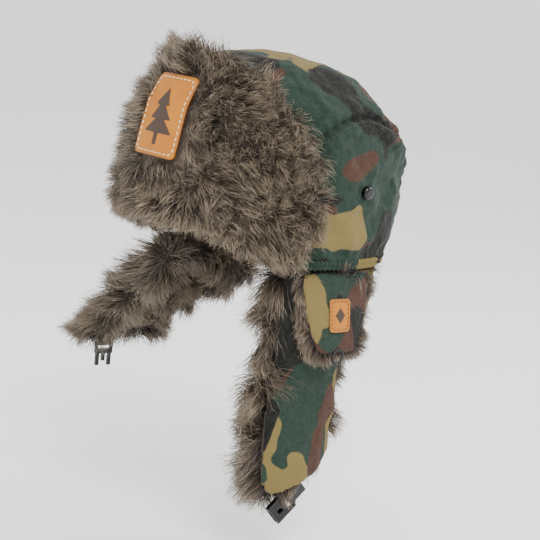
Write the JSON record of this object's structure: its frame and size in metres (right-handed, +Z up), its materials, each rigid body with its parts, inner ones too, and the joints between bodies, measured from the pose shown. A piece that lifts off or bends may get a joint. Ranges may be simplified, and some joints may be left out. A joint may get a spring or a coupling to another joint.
{
  "type": "trapper hat",
  "caption": "Soft winter hat with a padded crown, a turned-up furred front flap, long furred ear flaps with lift-up ear covers, a neck flap and a chin buckle.",
  "frame": {"origin": "centre of the head opening, level with the seam above the ears", "axes": "+Z up as worn on a level head, -Y the wearer's front, +X the wearer's left"},
  "size_m": [0.3529, 0.2409, 0.3715],
  "materials": {
    "camouflage_twill": "brushed printed twill",
    "wadding": "needled polyester batting",
    "lining": "quilted polyester taffeta",
    "stiffener": "bonded nonwoven",
    "pile": "long acrylic fur pile on a knitted back",
    "label_leather": "printed split leather",
    "webbing": "woven polypropylene tape",
    "buckle_plastic": "moulded acetal",
    "button_plastic": "domed moulded button"
  },
  "bodies": {
    "crown": {"crown_centre_panel": "camouflage_twill", "crown_side_panel_left": "camouflage_twill", "crown_side_panel_right": "camouflage_twill", "crown_wadding": "wadding", "crown_lining": "lining", "crown_hem_roll": "camouflage_twill", "button_left": "button_plastic", "button_right": "button_plastic"},
    "front_flap": {"front_flap_shell": "camouflage_twill", "front_flap_stiffener": "stiffener", "front_flap_fur": "pile", "front_patch": "label_leather"},
    "neck_flap": {"neck_flap_shell": "camouflage_twill", "neck_flap_fur": "pile"},
    "ear_flap_left": {"ear_flap_shell_left": "camouflage_twill", "ear_flap_pad_left": "wadding", "ear_flap_fur_left": "pile"},
    "ear_cover_left": {"ear_cover_shell_left": "camouflage_twill", "ear_cover_fur_left": "pile", "ear_cover_badge_left": "label_leather"},
    "chin_strap_left": {"chin_strap_left": "webbing"},
    "ear_flap_right": {"ear_flap_shell_right": "camouflage_twill", "ear_flap_pad_right": "wadding", "ear_flap_fur_right": "pile"},
    "ear_cover_right": {"ear_cover_shell_right": "camouflage_twill", "ear_cover_fur_right": "pile", "ear_cover_badge_right": "label_leather"},
    "chin_strap_right": {"chin_strap_right": "webbing"},
    "buckle_socket": {"buckle_socket": "buckle_plastic"},
    "buckle_plug": {"buckle_plug": "buckle_plastic"}
  },
  "joints": [
    {"name": "front_flap_fold", "type": "hinge", "parent": "crown", "child": "front_flap", "pos_m": [0, -0.106, 0.033], "axis": [1, 0, 0], "range_deg": [0, 80]},
    {"name": "ear_flap_left_fold", "type": "hinge", "parent": "crown", "child": "ear_flap_left", "pos_m": [0.099, 0, -0.002], "axis": [0, -1, 0], "range_deg": [0, 140]},
    {"name": "ear_flap_right_fold", "type": "hinge", "parent": "crown", "child": "ear_flap_right", "pos_m": [-0.099, 0, -0.002], "axis": [0, 1, 0], "range_deg": [-56, 84]},
    {"name": "ear_cover_left_lift", "type": "hinge", "parent": "ear_flap_left", "child": "ear_cover_left", "pos_m": [0.1005, 0, -0.004], "axis": [0, 1, 0], "range_deg": [-135, 0]},
    {"name": "ear_cover_right_lift", "type": "hinge", "parent": "ear_flap_right", "child": "ear_cover_right", "pos_m": [-0.1015, 0, -0.00187], "axis": [0, -1, 0], "range_deg": [-78, 0]},
    {"name": "neck_flap_fold", "type": "hinge", "parent": "crown", "child": "neck_flap", "pos_m": [0, 0.107, -0.002], "axis": [1, 0, 0], "range_deg": [0, 140]},
    {"name": "chin_strap_left_swing", "type": "hinge", "parent": "ear_flap_left", "child": "chin_strap_left", "pos_m": [0.077, 0.017, -0.183], "axis": [0, 0.682, -0.7314], "range_deg": [-70, 70]},
    {"name": "chin_strap_right_swing", "type": "hinge", "parent": "ear_flap_right", "child": "chin_strap_right", "pos_m": [-0.23841, 0, -0.12257], "axis": [0, 1, 0], "range_deg": [-10, 60]},
    {"name": "socket_swing", "type": "hinge", "parent": "chin_strap_left", "child": "buckle_socket", "pos_m": [0.077, 0.00603, -0.19323], "axis": [0, 0.682, -0.7314], "range_deg": [-50, 50]},
    {"name": "plug_swing", "type": "hinge", "parent": "chin_strap_right", "child": "buckle_plug", "pos_m": [-0.23841, 0, -0.13757], "axis": [0, 1, 0], "range_deg": [-40, 50]}
  ]
}
